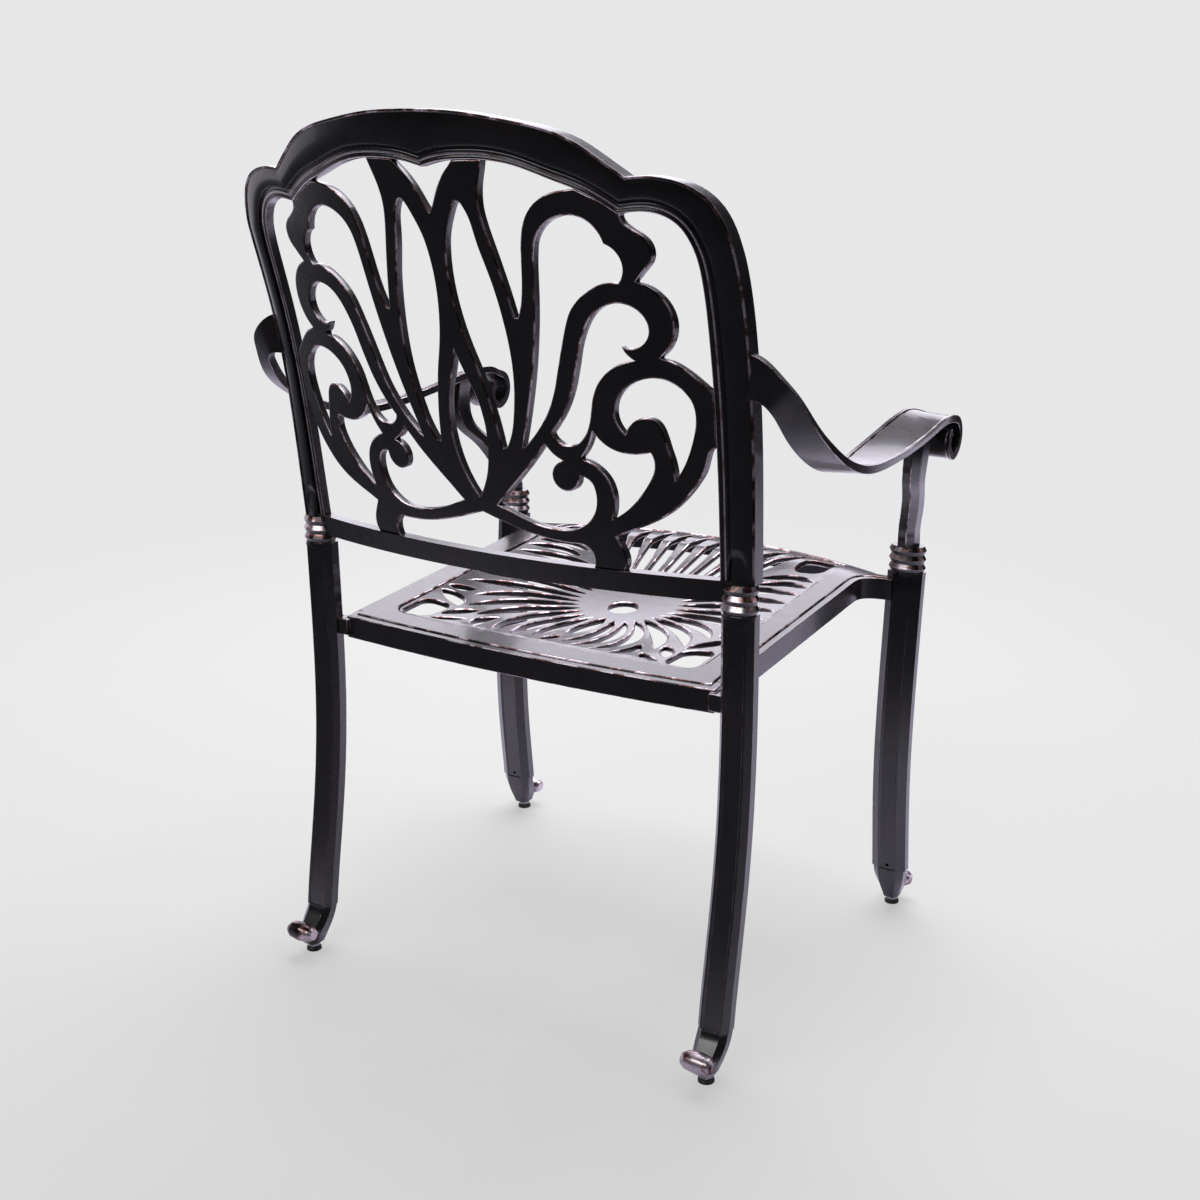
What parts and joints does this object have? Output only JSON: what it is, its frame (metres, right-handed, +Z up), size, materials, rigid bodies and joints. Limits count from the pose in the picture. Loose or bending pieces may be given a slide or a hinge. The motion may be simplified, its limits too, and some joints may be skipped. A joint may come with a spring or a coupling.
{
  "type": "cast garden armchair",
  "caption": "Outdoor armchair cast in openwork: bowed tulip-pattern back, scrolled arms, dished lattice seat and curved legs on levelling glides.",
  "frame": {"origin": "on the ground under the middle of the chair", "axes": "+Z up, -Y the way the sitter faces, +X the sitter's left"},
  "size_m": [0.6606, 0.6247, 0.93],
  "materials": {
    "cast_coated": "satin",
    "zinc_steel": "satin",
    "glide_plastic": "matte"
  },
  "bodies": {
    "chair": {"back_frame": "cast_coated", "back_fretwork": "cast_coated", "back_lower_rail": "cast_coated", "seat_plate": "cast_coated", "seat_rear_rail": "cast_coated", "seat_front_rail": "cast_coated", "rear_leg_left": "cast_coated", "rear_leg_right": "cast_coated", "front_leg_left": "cast_coated", "front_leg_right": "cast_coated", "arm_left": "cast_coated", "arm_right": "cast_coated", "arm_post_left": "cast_coated", "arm_post_right": "cast_coated", "seat_side_rail_left": "cast_coated", "seat_side_rail_right": "cast_coated", "rear_foot_insert_left": "zinc_steel", "rear_foot_insert_right": "zinc_steel", "front_foot_insert_left": "zinc_steel", "front_foot_insert_right": "zinc_steel"},
    "pad_rear_left": {"rear_glide_pad_left": "glide_plastic"},
    "stud_rear_left": {"rear_glide_stud_left": "zinc_steel"},
    "pad_rear_right": {"rear_glide_pad_right": "glide_plastic"},
    "stud_rear_right": {"rear_glide_stud_right": "zinc_steel"},
    "pad_front_left": {"front_glide_pad_left": "glide_plastic"},
    "stud_front_left": {"front_glide_stud_left": "zinc_steel"},
    "pad_front_right": {"front_glide_pad_right": "glide_plastic"},
    "stud_front_right": {"front_glide_stud_right": "zinc_steel"}
  },
  "joints": [
    {"name": "glide_travel_rear_left", "type": "slide", "parent": "chair", "child": "pad_rear_left", "axis": [0, 0, -1], "range_m": [0, 0.0075]},
    {"name": "glide_screw_rear_left", "type": "hinge", "parent": "pad_rear_left", "child": "stud_rear_left", "pos_m": [0.2555, 0.2075, 0.006], "axis": [0, 0, 1], "range_deg": [0, 2160]},
    {"name": "glide_travel_rear_right", "type": "slide", "parent": "chair", "child": "pad_rear_right", "axis": [0, 0, -1], "range_m": [0, 0.0075]},
    {"name": "glide_screw_rear_right", "type": "hinge", "parent": "pad_rear_right", "child": "stud_rear_right", "pos_m": [-0.2555, 0.2075, 0.006], "axis": [0, 0, 1], "range_deg": [0, 2160]},
    {"name": "glide_travel_front_left", "type": "slide", "parent": "chair", "child": "pad_front_left", "axis": [0, 0, -1], "range_m": [0, 0.0075]},
    {"name": "glide_screw_front_left", "type": "hinge", "parent": "pad_front_left", "child": "stud_front_left", "pos_m": [0.2705, -0.2495, 0.006], "axis": [0, 0, 1], "range_deg": [0, 2160]},
    {"name": "glide_travel_front_right", "type": "slide", "parent": "chair", "child": "pad_front_right", "axis": [0, 0, -1], "range_m": [0, 0.0075]},
    {"name": "glide_screw_front_right", "type": "hinge", "parent": "pad_front_right", "child": "stud_front_right", "pos_m": [-0.2705, -0.2495, 0.006], "axis": [0, 0, 1], "range_deg": [0, 2160]}
  ],
  "couplings": [
    {"joint": "glide_travel_rear_left", "follows": "glide_screw_rear_left", "m_per_rad": 0.00019894},
    {"joint": "glide_travel_rear_right", "follows": "glide_screw_rear_right", "m_per_rad": 0.00019894},
    {"joint": "glide_travel_front_left", "follows": "glide_screw_front_left", "m_per_rad": 0.00019894},
    {"joint": "glide_travel_front_right", "follows": "glide_screw_front_right", "m_per_rad": 0.00019894}
  ]
}
